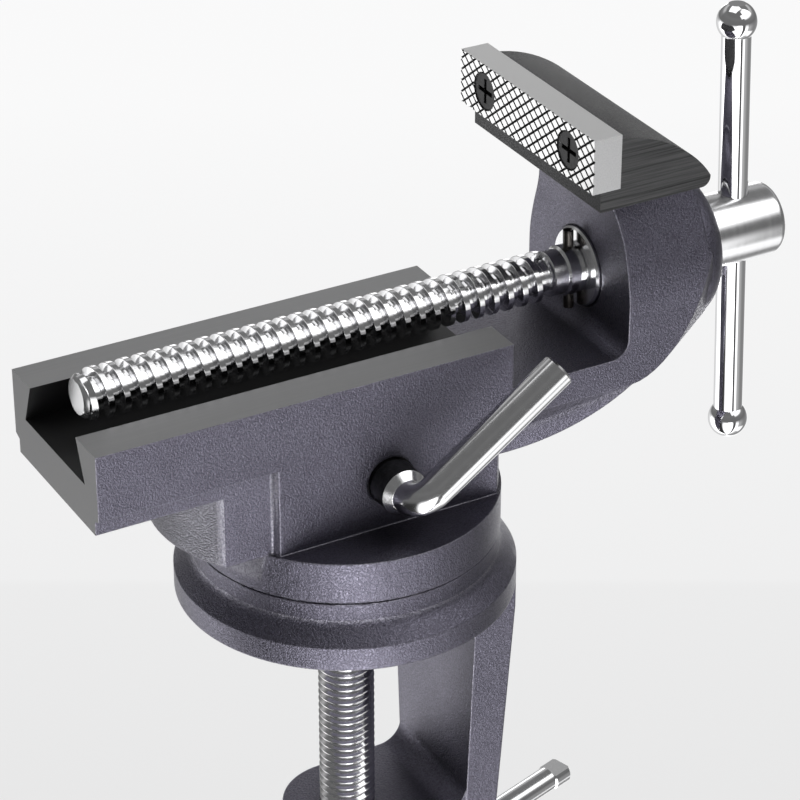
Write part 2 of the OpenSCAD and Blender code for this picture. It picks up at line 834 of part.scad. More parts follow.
module jaw_screws() {
    cone = jaw_head_r - jaw_screw_r;
    color(dark_steel)
        for (side = [-1, 1])
            translate([plate_front + head_sink, side * jaw_screw_span / 2, plate_mid])
                difference() {
                    rotate([0, 90, 0])
                        rotate_extrude()
                            polygon([
                                [0, 0],
                                [jaw_head_r, 0],
                                [jaw_screw_r, cone],
                                [jaw_screw_r, jaw_screw_l - edge],
                                [jaw_screw_r - edge, jaw_screw_l],
                                [0, jaw_screw_l]
                            ]);
                    for (turn = [0, 90])
                        rotate([turn, 0, 0])
                            translate([-over, -cross_span / 2, -cross_w / 2])
                                cube([over + cross_depth, cross_span, cross_w]);
                }
}

module screw_bush() {
    color(bright_steel)
        translate([0, 0, screw_z])
            difference() {
                chamfered_x(bush_front, boss_end - part_gap, bush_r, edge);
                pin_along_x(bush_front - over, boss_end + over, shaft_r + run_gap);
            }
}

module thrust_washer() {
    color(bright_steel)
        translate([0, 0, screw_z])
            difference() {
                pin_along_x(boss_end, boss_end + thrust_t, lead_head_d / 2 + edge);
                pin_along_x(boss_end - over, boss_end + thrust_t + over, shaft_r + run_gap);
            }
}

// Places what turns with the lead screw
module on_lead() {
    translate([0, 0, screw_z])
        rotate([-handle_lean, 0, 0])
            children();
}

module lead_screw() {
    thread_l = shaft_start + tip_reach - tip_h / 2;
    turns = floor(thread_l / lead_pitch);
    head_r = lead_head_d / 2;
    head_l = lead_head_end - head_start;
    color(bright_steel)
        on_lead() {
            difference() {
                union() {
                    pin_along_x(shaft_start, head_start + over, shaft_r);
                    translate([head_start, 0, 0])
                        rotate([0, 90, 0])
                            rotate_extrude()
                                polygon(concat(
                                    [[0, 0], [head_r - edge, 0], [head_r, edge]],
                                    arc([head_r - lead_head_round, head_l - lead_head_round],
                                        lead_head_round, 0, 90),
                                    [[0, head_l]]
                                ));
                }
                translate([pin_x, 0, 0])
                    pin_along_z(-lead_d, lead_d, pin_r + press_gap);
                translate([handle_x, 0, 0])
                    pin_along_z(-lead_head_d, lead_head_d, handle_r + run_gap);
            }
            chamfered_x(-tip_reach, -tip_reach + tip_h, tip_d / 2, tip_edge);
            translate([shaft_start - (turns + 1) * lead_pitch + thread_run_in_share * lead_pitch, 0, 0])
                rotate([0, 90, 0])
                    thread(lead_root_d / 2, lead_d / 2, lead_pitch, turns, lead_profile_shares,
                        tip_d / 2, shaft_r - 2 * press_gap);
        }
}

module stop_collar() {
    color(bright_steel)
        on_lead()
            difference() {
                chamfered_x(collar_start, collar_end, collar_d / 2, edge);
                pin_along_x(collar_start - over, collar_end + over, shaft_r + press_gap);
                translate([pin_x, 0, 0])
                    pin_along_z(-collar_d, collar_d, pin_r + press_gap);
            }
}

module retaining_pin() {
    color(dark_steel)
        on_lead()
            translate([pin_x, 0, 0])
                difference() {
                    pin_along_z(-pin_l / 2, pin_l / 2, pin_r);
                    pin_along_z(-pin_l / 2 - over, pin_l / 2 + over, pin_bore_d / 2);
                    translate([0, -pin_slit / 2, -pin_l / 2 - over])
                        cube([pin_d, pin_slit, pin_l + 2 * over]);
                }
}

module handle_bar() {
    color(bright_steel)
        on_lead()
            translate([handle_x, 0, 0])
                pin_along_z(-handle_span / 2 - ball_grip, handle_span / 2 + ball_grip, handle_r);
}

module handle_ball(end) {
    color(bright_steel)
        on_lead()
            translate([handle_x, 0, end * handle_span / 2])
                difference() {
                    sphere(r = ball_r);
                    rotate([90 - 90 * end, 0, 0]) {
                        pin_along_z(-ball_d, ball_grip + part_gap, handle_r + press_gap);
                        translate([-ball_r, -ball_r, ball_r - ball_flat])
                            cube([ball_d, ball_d, over]);
                    }
                }
}

module handle_ball_top() {
    handle_ball(1);
}

module handle_ball_bottom() {
    handle_ball(-1);
}

module lock_shaft() {
    color(dark_steel)
        translate([0, 0, cam_z])
            difference() {
                union() {
                    translate([0, cam_front, 0])
                        rotate([-90, 0, 0])
                            cylinder(h = cam_chamfer, r1 = lever_r, r2 = knob_d / 2);
                    pin_along_y(cam_front + cam_chamfer, -bed_half - knob_gap, knob_d / 2);
                    pin_along_y(-bed_half - knob_gap, -journal_w / 2, cam_r);
                    translate([throw * cos(throw_angle), 0, throw * sin(throw_angle)])
                        pin_along_y(-journal_w / 2, journal_w / 2, journal_r);
                    pin_along_y(journal_w / 2, clip_y, cam_r);
                    pin_along_y(clip_y, clip_end, clip_groove_r);
                    pin_along_y(clip_end, clip_end + clip_tail, cam_r);
                }
                pin_along_y(cam_front - over, cam_front + lever_seat, lever_r - lever_neck + press_gap);
            }
}

module lock_lever() {
    color(bright_steel)
        translate([0, 0, cam_z])
            rotate([0, -lever_rise, 0]) {
                pin_along_y(cam_front, cam_front + lever_seat - part_gap, lever_r - lever_neck);
                translate([lever_bend, cam_front, 0])
                    rotate([0, 0, 180])
                        rotate_extrude(angle = 90)
                            translate([lever_bend, 0])
                                circle(r = lever_r);
                translate([0, cam_front - lever_bend, 0]) {
                    pin_along_x(lever_bend, lever_l - edge, lever_r);
                    translate([lever_l - edge, 0, 0])
                        rotate([0, 90, 0])
                            cylinder(h = edge, r1 = lever_r, r2 = lever_r - edge);
                }
            }
}

module lock_clip() {
    color(dark_steel)
        translate([0, clip_y + part_gap, cam_z])
            rotate([-90, 0, 0])
                difference() {
                    cylinder(h = clip_t, r = clip_d / 2);
                    translate([0, 0, -over])
                        cylinder(h = clip_t + 2 * over, r = clip_groove_r + press_gap);
                    translate([-clip_groove_r + edge, 0, -over])
                        cube([2 * (clip_groove_r - edge), clip_d, clip_t + 2 * over]);
                }
}

module lock_bushes() {
    length = bed_half - lock_bush_set - journal_w / 2 - over;
    color(dark_steel)
        for (side = [-1, 1])
            translate([0, side * (bed_half - lock_bush_set - length / 2), cam_z])
                difference() {
                    pin_along_y(-length / 2, length / 2, lock_bush_r);
                    pin_along_y(-length / 2 - over, length / 2 + over, cam_r + run_gap);
                }
}

module draw_bolt() {
    color(ground_steel)
        difference() {
            union() {
                translate([throw * cos(throw_angle) / 2, 0, eye_z])
                    pin_along_y(-eye_w / 2, eye_w / 2, eye_r);
                pin_along_z(draw_end + edge, eye_z, draw_r);
                translate([0, 0, draw_end])
                    cylinder(h = edge, r1 = draw_r - edge, r2 = draw_r);
            }
            translate([throw * cos(throw_angle) / 2, 0, eye_z]) {
                for (side = [-1, 1])
                    translate([side * eye_slot, 0, 0])
                        pin_along_y(-eye_w, eye_w, journal_r + run_gap);
                translate([-eye_slot, -eye_w, -journal_r - run_gap])
                    cube([2 * eye_slot, 2 * eye_w, 2 * (journal_r + run_gap)]);
            }
        }
}

module draw_washer() {
    color(ground_steel)
        translate([0, 0, spring_top])
            rotate_extrude()
                polygon([
                    [draw_r + face_gap, -spring_rise],
                    [spring_d / 2, 0],
                    [spring_d / 2, -spring_t],
                    [draw_r + face_gap, -spring_rise - spring_t]
                ]);
}

module draw_nut() {
    color(ground_steel)
        translate([0, 0, nut_top - draw_nut_h])
            difference() {
                cylinder(h = draw_nut_h, r = draw_nut_w / sqrt(3), $fn = 6);
                translate([0, 0, -over])
                    cylinder(h = draw_nut_h + 2 * over, r = draw_r + press_gap);
            }
}

// The C-frame's side view, with its back bar and lower arm
module frame_side_view() {
    low_out = bar_out - bar_lean * (throat_h + low_arm_t - frame_round) / throat_h;
    polygon(concat(
        [[bar_in, over]],
        arc([bar_in - throat_fillet, arm_low + throat_fillet], throat_fillet, 0, -90),
        [[0, arm_low], [0, frame_low]],
        arc([low_out - frame_round, frame_low + frame_round], frame_round, -90, 0),
        [[bar_out, over]]
    ));
}

module clamp_frame() {
    low_half = bar_low_w / 2;
    color(cast_paint)
        difference() {
            union() {
                rotate_extrude()
                    polygon([
                        [0, 0],
                        [rim_r, 0],
                        [rim_r, rim_h],
                        [base_r, rim_h + cone_h],
                        [base_r, base_h - part_chamfer / 2],
                        [base_r - part_chamfer / 2, base_h],
                        [0, base_h]
                    ]);
                intersection() {
                    pin_along_z(frame_low - over, over, rim_r);
                    across(bar_w)
                        frame_side_view();
                    translate([0, 0, frame_low - over])
                        linear_extrude(throat_h + low_arm_t + 2 * over)
                            polygon(mirrored_plan([
                                [0, low_boss_d / 2],
                                [bar_in, low_half],
                                [bar_in, bar_w / 2],
                                [rim_r, bar_w / 2]
                            ]));
                    along(-over, rim_r)
                        polygon(mirrored([
                            [bar_w / 2, over],
                            [bar_w / 2, 0],
                            [low_half, arm_low],
                            [low_half - (bar_w / 2 - low_half) * low_arm_t / throat_h, frame_low]
                        ]));
                }
                pin_along_z(frame_low, arm_low, low_boss_d / 2);
            }
            pin_along_z(-over, nut_pocket_h, nut_pocket_d / 2);
            pin_along_z(0, base_h + over, draw_r + face_gap);
            pin_along_z(base_h - spigot_h - face_gap, base_h + over, spigot_r + run_gap);
            ring_along_z(base_h - friction_t + part_gap, base_h + over, friction_in_d / 2 - face_gap,
                friction_out_d / 2 + face_gap);
            pin_along_z(frame_low - over, arm_low + over, clamp_r + run_gap);
        }
}

module swivel_washer() {
    color(ground_steel)
        ring_along_z(base_h - friction_t + part_gap, base_h + part_gap, friction_in_d / 2,
            friction_out_d / 2);
}

module clamp_screw() {
    thread_l = clamp_l + pad_low;
    turns = floor(thread_l / clamp_pitch) - 1;
    head_r = clamp_head_d / 2;
    color(bright_steel) {
        difference() {
            pin_along_z(-clamp_l - clamp_head_l, -clamp_l, head_r);
            translate([0, 0, -low_bar_z])
                rotate([0, 0, low_bar_turn])
                    pin_along_x(-clamp_head_d, clamp_head_d, low_bar_r + run_gap);
        }
        pin_along_z(-clamp_l - over, pad_low - face_gap, clamp_root_d / 2 - core_set);
        translate([0, 0, -clamp_l - thread_step_share * clamp_pitch])
            thread(clamp_root_d / 2, clamp_r, clamp_pitch, turns, clamp_profile_shares,
                clamp_r, clamp_root_d / 2);
        rotate_extrude()
            polygon([
                [0, pad_low - over],
                [nose_r, pad_low - over],
                [nose_r, ring_z - ring_t / 2 - part_gap],
                [ring_in_r, ring_z - ring_t / 2 - part_gap],
                [ring_in_r, ring_z + ring_t / 2 + part_gap],
                [nose_r, ring_z + ring_t / 2 + part_gap],
                [nose_r, nose_top - edge],
                [nose_r - edge, nose_top],
                [0, nose_top]
            ]);
    }
}

module clamp_pad() {
    color(ground_steel)
        difference() {
            union() {
                pin_along_z(pad_top - pad_t, pad_top, pad_d / 2);
                pin_along_z(pad_low, pad_top - pad_t + edge, pad_hub_d / 2);
            }
            pin_along_z(pad_low - over, nose_top + face_gap, nose_r + run_gap);
            pin_along_z(ring_z - ring_t / 2 - part_gap, ring_z + ring_t / 2 + part_gap,
                ring_out_r + press_gap);
        }
}

module pad_clip() {
    color(dark_steel)
        difference() {
            ring_along_z(ring_z - ring_t / 2, ring_z + ring_t / 2, ring_in_r + run_gap, ring_out_r);
            translate([0, -ring_bite, ring_z - ring_t])
                cube([nose_d, 2 * ring_bite, 2 * ring_t]);
        }
}

module clamp_bar() {
    x0 = low_bar_reach - low_bar_l;
    color(bright_steel)
        translate([0, 0, -low_bar_z])
            rotate([0, 0, low_bar_turn]) {
                pin_along_x(x0 + press_l, low_bar_reach - press_l, low_bar_r);
                for (start = [x0, low_bar_reach - press_l])
                    intersection() {
                        chamfered_x(start, start + press_l, press_w / 2, edge);
                        translate([start, -press_w / 2, -press_t / 2])
                            cube([press_l, press_w, press_t]);
                    }
            }
}

clamp_frame();
swivel_washer();
clamp_screw();
clamp_pad();
pad_clip();
clamp_bar();
vise_body();
jaw_plate();
jaw_screws();
screw_bush();
thrust_washer();
lock_bushes();
lead_screw();
stop_collar();
retaining_pin();
handle_bar();
handle_ball_top();
handle_ball_bottom();
lock_shaft();
lock_lever();
lock_clip();
draw_bolt();
draw_washer();
draw_nut();
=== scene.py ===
# Mini bench vise on its C-frame, dressed for the studio. The script follows the
# vise as it is put together: stand and studio first, then the base, the cast
# body, the jaw, the lead screw with its handle, the cam lock and the clamp.
import math

import bpy
from mathutils import Matrix, Vector


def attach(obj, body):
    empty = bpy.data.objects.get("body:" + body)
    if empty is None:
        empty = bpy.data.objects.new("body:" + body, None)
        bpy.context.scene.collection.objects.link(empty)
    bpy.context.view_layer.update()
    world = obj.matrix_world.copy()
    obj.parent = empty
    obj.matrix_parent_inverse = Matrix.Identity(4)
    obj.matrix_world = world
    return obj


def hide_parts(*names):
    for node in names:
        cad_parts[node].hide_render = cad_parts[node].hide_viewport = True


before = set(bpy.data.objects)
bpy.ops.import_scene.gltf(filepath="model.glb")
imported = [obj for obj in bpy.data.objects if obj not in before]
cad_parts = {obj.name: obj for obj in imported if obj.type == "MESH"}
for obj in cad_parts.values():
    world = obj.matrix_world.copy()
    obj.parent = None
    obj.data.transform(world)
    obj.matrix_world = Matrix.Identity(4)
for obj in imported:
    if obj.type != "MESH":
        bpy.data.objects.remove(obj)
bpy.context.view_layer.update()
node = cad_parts


# Camera
# A long lens from in front of the open end of the bed, a little above the
# vise, looking down on the lead screw. Its place and turn were solved from the
# proportions in the photo.
bpy.ops.object.camera_add(location=(0, 0, 0))
camera = bpy.context.object
camera.name = "studio_camera"
camera_right = Vector((0.8734302, -0.4869493, 0.0001076))
camera_up = Vector((0.2404922, 0.4315577, 0.8694375))
camera_ahead = Vector((0.4234184, 0.7593671, -0.4940430))
across, upward, distance = 0.0133590, 0.0423428, 0.7785081
camera_place = camera_right * across + camera_up * upward - camera_ahead * distance
camera.matrix_world = Matrix.Translation(camera_place) @ Matrix(
    (camera_right, camera_up, -camera_ahead)
).transposed().to_4x4()
camera.data.sensor_width = 36
camera.data.lens = 143.831
camera.data.clip_start = 0.01
camera.data.clip_end = 50
bpy.context.scene.camera = camera
bpy.context.scene.view_settings.view_transform = "Standard"


# Studio
# A pale paper floor lies flat under the vise, and to the lens it glows, with painted light
# growing brighter toward the back. Softboxes light it from above, from the right and from
# behind, and plated steel mirrors a room of dark flags between pale walls, which gives it its
# stripes.
def clear_selection():
    if bpy.context.object and bpy.context.object.mode != "OBJECT":
        bpy.ops.object.mode_set(mode="OBJECT")
    bpy.ops.object.select_all(action="DESELECT")


def new_material(name):
    made = bpy.data.materials.new(name)
    made.use_nodes = True
    tree = made.node_tree
    return made, tree, tree.nodes["Principled BSDF"]


def add_node(tree, kind, **values):
    made = tree.nodes.new(kind)
    for key, value in values.items():
        setattr(made, key, value)
    return made


def plug(tree, source, socket):
    """Feeds a socket from another node's output, or sets it to a value."""
    if isinstance(source, bpy.types.NodeSocket):
        tree.links.new(source, socket)
    else:
        socket.default_value = source


def maths(tree, operation, *terms, clamp=False):
    """Works out operation on terms, each a value or another node's output."""
    made = add_node(tree, "ShaderNodeMath", operation=operation, use_clamp=clamp)
    for term, socket in zip(terms, made.inputs):
        plug(tree, term, socket)
    return made.outputs[0]


def remapped(tree, source, low, high, to_low=0.0, to_high=1.0):
    """Runs from to_low to to_high while source runs from low to high."""
    made = add_node(tree, "ShaderNodeMapRange")
    plug(tree, source, made.inputs["Value"])
    made.inputs["From Min"].default_value = low
    made.inputs["From Max"].default_value = high
    made.inputs["To Min"].default_value = to_low
    made.inputs["To Max"].default_value = to_high
    return made.outputs[0]


def shade_ramp(tree, source, stops, blue=1.0):
    """Greys along source, from (place, shade) stops, with a share more of blue."""
    ramp = add_node(tree, "ShaderNodeValToRGB")
    while len(ramp.color_ramp.elements) < len(stops):
        ramp.color_ramp.elements.new(0.5)
    for stop, (place, shade) in zip(ramp.color_ramp.elements, stops):
        stop.position = place
        stop.color = (shade, shade, shade * blue, 1)
    tree.links.new(source, ramp.inputs[0])
    return ramp.outputs[0]


def either(tree, share, first, second):
    """The first shader where share is 0, and the second where it is 1."""
    made = add_node(tree, "ShaderNodeMixShader")
    tree.links.new(share, made.inputs["Fac"])
    tree.links.new(first, made.inputs[1])
    tree.links.new(second, made.inputs[2])
    return made.outputs[0]


def object_place(tree):
    return add_node(tree, "ShaderNodeTexCoord").outputs["Object"]


floor_z = -0.170
clear_selection()
bpy.ops.mesh.primitive_plane_add(size=12, location=(0, 0, floor_z))
floor = bpy.context.object
floor.name = "floor"
floor_paper, tree, surface = new_material("floor paper")
surface.inputs["Base Color"].default_value = (0.80, 0.80, 0.805, 1)
surface.inputs["Roughness"].default_value = 0.9
surface.inputs["Specular IOR Level"].default_value = 0.1
# Painted light: the paper glows to the lens, brighter away from it
away = add_node(tree, "ShaderNodeVectorMath", operation="DOT_PRODUCT")
away.inputs[1].default_value = (0.487, 0.873, 0)
tree.links.new(object_place(tree), away.inputs[0])
glow_ramp = shade_ramp(tree, remapped(tree, away.outputs["Value"], 0.0706, 0.8460), (
    (0.0, 0.80), (0.084, 0.808), (0.241, 0.84), (0.245, 0.865), (0.51, 0.91), (0.75, 0.952),
), blue=1.002)
paper_glow = add_node(tree, "ShaderNodeEmission")
paper_glow.inputs["Strength"].default_value = 1.05
tree.links.new(glow_ramp, paper_glow.inputs["Color"])
ray = add_node(tree, "ShaderNodeLightPath")
glow_share = maths(tree, "MULTIPLY", ray.outputs["Is Camera Ray"], 0.93)
glowing_paper = either(tree, glow_share, surface.outputs[0], paper_glow.outputs[0])
# Plated steel looks through the paper to the room's own floor
see_through = add_node(tree, "ShaderNodeBsdfTransparent").outputs[0]
seen_paper = either(tree, ray.outputs["Is Glossy Ray"], glowing_paper, see_through)
tree.links.new(seen_paper, tree.nodes["Material Output"].inputs["Surface"])
floor.data.materials.append(floor_paper)


def softbox(name, size, watts, place, target):
    bpy.ops.object.light_add(type="AREA", location=place)
    lamp = bpy.context.object
    lamp.name = name
    lamp.data.shape = "RECTANGLE"
    lamp.data.size, lamp.data.size_y = size
    lamp.data.energy = watts
    lamp.rotation_euler = (
        (Vector(target) - Vector(place)).to_track_quat("-Z", "Y").to_euler()
    )


lit_point = (0, 0, 0.03)
softbox("overhead_softbox", (1.0, 1.0), 3.5, (-0.08, 0.25, 1.35), lit_point)
softbox("right_softbox", (0.6, 0.5), 1.0, (0.25, -0.93, 0.98), lit_point)
softbox("back_softbox", (0.6, 0.5), 1.5, (0.67, 1.16, 0.15), lit_point)

studio = bpy.data.worlds.new("studio walls")
bpy.context.scene.world = studio
studio.use_nodes = True
tree = studio.node_tree
tree.nodes.clear()
split = add_node(tree, "ShaderNodeSeparateXYZ")
direction = add_node(tree, "ShaderNodeTexCoord")
tree.links.new(direction.outputs["Generated"], split.inputs[0])
# Bearing of a direction as a share of a full turn from +X, and its rise
bearing = maths(tree, "ARCTAN2", split.outputs["Y"], split.outputs["X"])
around = maths(tree, "FRACT", maths(tree, "MULTIPLY_ADD", bearing, 1 / math.tau, 1.0))
rise = split.outputs["Z"]
# Walls and floor by bearing: pale, with black flags and bright gaps
walls = shade_ramp(tree, around, (
    (0.00, 0.03), (0.07, 0.05), (0.09, 0.16), (0.16, 0.15), (0.18, 0.09), (0.25, 0.09),
    (0.30, 0.11), (0.34, 0.16), (0.37, 0.36), (0.43, 0.42), (0.45, 0.001), (0.565, 0.001),
    (0.60, 0.26), (0.655, 0.35), (0.675, 1.0), (0.722, 1.0), (0.741, 0.30), (0.747, 0.01),
    (0.785, 0.01), (0.791, 0.22), (0.827, 0.20), (0.848, 0.06), (0.875, 0.06), (0.90, 0.045),
    (0.94, 0.03), (1.00, 0.03),
))
below = remapped(tree, rise, -0.02, -0.30)
# A large panel overhead to the right, and a grey wall behind the vise
panel = shade_ramp(tree, around, (
    (0.0, 0.0), (0.775, 0.0), (0.80, 0.27), (0.955, 0.27), (0.975, 0.0), (1.0, 0.0),
))
panel_height = shade_ramp(tree, rise, (
    (0.0, 0.0), (0.36, 0.0), (0.60, 1.0), (0.92, 1.0), (0.96, 0.1), (1.0, 0.05),
))
behind = shade_ramp(tree, around, (
    (0.0, 1.0), (0.33, 1.0), (0.37, 0.05), (0.775, 0.05), (0.80, 0.2), (1.0, 1.0),
))
behind_height = shade_ramp(tree, rise, (
    (0.0, 0.0), (0.30, 0.01), (0.45, 0.05), (0.56, 0.05), (0.66, 0.004), (1.0, 0.004),
))
# A dim belt at the horizon, and a white strip of floor under the panel that
# fades into the vise's own shade
dim_belt = remapped(tree, rise, -0.30, -0.02, 0.004, 0.022)
white_floor = remapped(tree, rise, -0.55, -0.63, 0.0, 0.5)
shaded_floor = remapped(tree, rise, -0.80, -0.87, 1.0, 0.15)
floor_strip = maths(
    tree, "MULTIPLY", panel, maths(tree, "MULTIPLY", white_floor, shaded_floor)
)
room = maths(tree, "MULTIPLY", walls, below)
for shade, height in ((panel, panel_height), (behind, behind_height)):
    room = maths(tree, "ADD", room, maths(tree, "MULTIPLY", shade, height))
for part in (dim_belt, floor_strip):
    room = maths(tree, "ADD", room, part)


def background(tree, colour, strength=1.0):
    made = add_node(tree, "ShaderNodeBackground")
    plug(tree, colour, made.inputs["Color"])
    made.inputs["Strength"].default_value = strength
    return made.outputs[0]


mirrored_room = background(tree, room, 7.0)
plain_room = background(tree, (0.93, 0.935, 0.95, 1), 0.14)
backdrop = background(tree, (0.93, 0.93, 0.93, 1))
ray = add_node(tree, "ShaderNodeLightPath")
chosen_room = either(tree, ray.outputs["Is Glossy Ray"], plain_room, mirrored_room)
seen_room = either(tree, ray.outputs["Is Camera Ray"], chosen_room, backdrop)
out = add_node(tree, "ShaderNodeOutputWorld")
tree.links.new(seen_room, out.inputs["Surface"])


# Base
# The swivel base and its C-frame are one grey iron casting, shot with a dark
# violet-grey wrinkle paint. Its fine grain carries pale specks painted in as glints.
mm = 0.001


def new_group(name, inputs, outputs):
    group = bpy.data.node_groups.new(name, "ShaderNodeTree")
    for label, kind, value in inputs:
        socket = group.interface.new_socket(label, in_out="INPUT", socket_type=kind)
        socket.default_value = value
    for label, kind in outputs:
        group.interface.new_socket(label, in_out="OUTPUT", socket_type=kind)
    return group, group.nodes.new("NodeGroupInput"), group.nodes.new("NodeGroupOutput")


def place_group(tree, group, **values):
    placed = tree.nodes.new("ShaderNodeGroup")
    placed.node_tree = group
    for label, value in values.items():
        placed.inputs[label].default_value = value
    return placed


def noise(tree, place, scale, detail, **values):
    made = add_node(tree, "ShaderNodeTexNoise")
    tree.links.new(place, made.inputs["Vector"])
    plug(tree, scale, made.inputs["Scale"])
    made.inputs["Detail"].default_value = detail
    for label, value in values.items():
        made.inputs[label].default_value = value
    return made.outputs["Fac"]


def mixed(tree, factor, first, second):
    """A colour between first and second, each a colour or a node's output."""
    made = add_node(tree, "ShaderNodeMix", data_type="RGBA")
    tree.links.new(factor, made.inputs["Factor"])
    for source, socket in ((first, made.inputs[6]), (second, made.inputs[7])):
        plug(tree, (*source, 1) if isinstance(source, tuple) else source, socket)
    return made.outputs[2]


def raised(tree, height, distance, strength=1.0, normal=None):
    """A surface that stands up to distance proud where height is 1."""
    bump = add_node(tree, "ShaderNodeBump")
    bump.inputs["Strength"].default_value = strength
    bump.inputs["Distance"].default_value = distance
    tree.links.new(height, bump.inputs["Height"])
    if normal:
        tree.links.new(normal, bump.inputs["Normal"])
    return bump.outputs[0]


# Wrinkles of a given size and pale specks painted as glints, from the place on the object
grain_group, given, result = new_group(
    "casting grain",
    (("Size", "NodeSocketFloat", 0.6 * mm), ("Specks", "NodeSocketFloat", 0.5)),
    (("Tone", "NodeSocketFloat"), ("Height", "NodeSocketFloat")),
)
spot = object_place(grain_group)
per_metre = maths(grain_group, "DIVIDE", 1.0, given.outputs["Size"])
wrinkle = noise(grain_group, spot, per_metre, 3.0, Roughness=0.6, Distortion=0.6)
cloud = noise(grain_group, spot, 90, 2.0)
fine = noise(grain_group, spot, 4200, 1.0)
firm = remapped(grain_group, wrinkle, 0.38, 0.62)
# Pale specks painted into the colour as glints of light
glint_fleck = remapped(grain_group, fine, 0.60, 0.72)
glint_fleck_part = maths(grain_group, "MULTIPLY", glint_fleck, given.outputs["Specks"])
cloud_part = maths(grain_group, "MULTIPLY_ADD", cloud, 0.35, glint_fleck_part)
tone = maths(grain_group, "MULTIPLY_ADD", firm, 0.55, cloud_part, clamp=True)
grain_group.links.new(tone, result.inputs["Tone"])
grain_group.links.new(firm, result.inputs["Height"])


def cast_finish(name, dark, light, wear_and_glint_colour, size, glint_flecks, depth, rounding, rough, flake):
    """Grained casting: sunk corners are darkened as painted shade, and sharp edges are
    lightened as wear and painted highlight.
    """
    made, tree, surface = new_material(name)
    grain = place_group(tree, grain_group, Size=size, Specks=glint_flecks)
    tone = grain.outputs["Tone"]
    # Painted shade: the paint darkens toward near-black where ambient occlusion finds sunk
    # corners and creases.
    corner = add_node(tree, "ShaderNodeAmbientOcclusion", samples=8)
    corner.inputs["Distance"].default_value = 22 * mm
    unshaded_share = remapped(tree, corner.outputs["AO"], 0.25, 0.80, 0.22, 1.0)
    corner_shade_colour = tuple(c * 0.3 for c in dark)
    shade_toned = mixed(tree, unshaded_share, corner_shade_colour, mixed(tree, tone, dark, light))
    edge = add_node(tree, "ShaderNodeBevel", samples=6)
    edge.inputs["Radius"].default_value = rounding
    flat = add_node(tree, "ShaderNodeNewGeometry")
    turned = add_node(tree, "ShaderNodeVectorMath", operation="DOT_PRODUCT")
    tree.links.new(edge.outputs[0], turned.inputs[0])
    tree.links.new(flat.outputs["True Normal"], turned.inputs[1])
    # Sharp edges, hollow ones too, are lightened: partly wear, partly a painted highlight
    # along the edge.
    wear_and_glint = maths(tree, "MULTIPLY", remapped(tree, turned.outputs["Value"], 0.97, 0.88), tone)
    tree.links.new(mixed(tree, wear_and_glint, shade_toned, wear_and_glint_colour), surface.inputs["Base Color"])
    sheen = remapped(tree, tone, 0.0, 1.0, *rough)
    tree.links.new(sheen, surface.inputs["Roughness"])
    surface.inputs["Metallic"].default_value = flake
    wrinkled = raised(tree, grain.outputs["Height"], depth, normal=edge.outputs[0])
    tree.links.new(wrinkled, surface.inputs["Normal"])
    return made


def finish_node(name, material):
    node[name].data.materials.clear()
    node[name].data.materials.append(material)


def take_up(piece):
    """Makes piece the only selected object, and the active one."""
    clear_selection()
    piece.select_set(True)
    bpy.context.view_layer.objects.active = piece


def copy_node(name, new_name):
    """A merged copy of a CAD node, to be finished in its place."""
    copy = node[name].copy()
    copy.data = node[name].data.copy()
    copy.name = new_name
    copy.parent = None
    for key in list(copy.keys()):
        del copy[key]
    bpy.context.scene.collection.objects.link(copy)
    take_up(copy)
    bpy.ops.object.mode_set(mode="EDIT")
    bpy.ops.mesh.select_all(action="SELECT")
    bpy.ops.mesh.remove_doubles(threshold=0.001 * mm)
    bpy.ops.mesh.select_all(action="DESELECT")
    bpy.ops.object.mode_set(mode="OBJECT")
    return copy


def even_normals(piece, crease_z=None):
    """Flat faces of a casting stay flat to the eye beside its curved ones, and
    the edges that lie at crease_z stay sharp."""
    take_up(piece)
    bpy.ops.object.mode_set(mode="EDIT")
    bpy.ops.mesh.select_all(action="SELECT")
    bpy.ops.mesh.dissolve_limited(angle_limit=math.radians(0.2))
    bpy.ops.mesh.select_all(action="DESELECT")
    bpy.ops.object.mode_set(mode="OBJECT")
    bpy.ops.object.shade_smooth_by_angle(angle=math.radians(25))
    if crease_z is not None:
        points = piece.data.vertices
        for edge in piece.data.edges:
            if all(abs(points[i].co.z - crease_z) < 0.01 * mm for i in edge.vertices):
                edge.use_edge_sharp = True
    even = piece.modifiers.new("even", "WEIGHTED_NORMAL")
    even.keep_sharp = True
    even.weight = 90
    bpy.ops.object.modifier_apply(modifier="even")


casting_paint = cast_finish(
    "violet-grey casting paint",
    dark=(0.085, 0.080, 0.108), light=(0.200, 0.192, 0.245), wear_and_glint_colour=(0.45, 0.44, 0.50),
    size=0.5 * mm, glint_flecks=0.35, depth=0.06 * mm, rounding=0.6 * mm,
    rough=(0.36, 0.28), flake=0.75,
)
base = copy_node("clamp_frame", "cast_base")
base.data.materials.clear()
base.data.materials.append(casting_paint)
even_normals(base, crease_z=0.0)
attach(base, "base")
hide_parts("clamp_frame")


# Washer
# The friction washer is a flat ring of sheet steel, and lies out of sight
# between base and body.
def stretched_place(tree, stretch):
    lay = add_node(tree, "ShaderNodeMapping")
    lay.inputs["Scale"].default_value = stretch
    tree.links.new(object_place(tree), lay.inputs["Vector"])
    return lay.outputs[0]


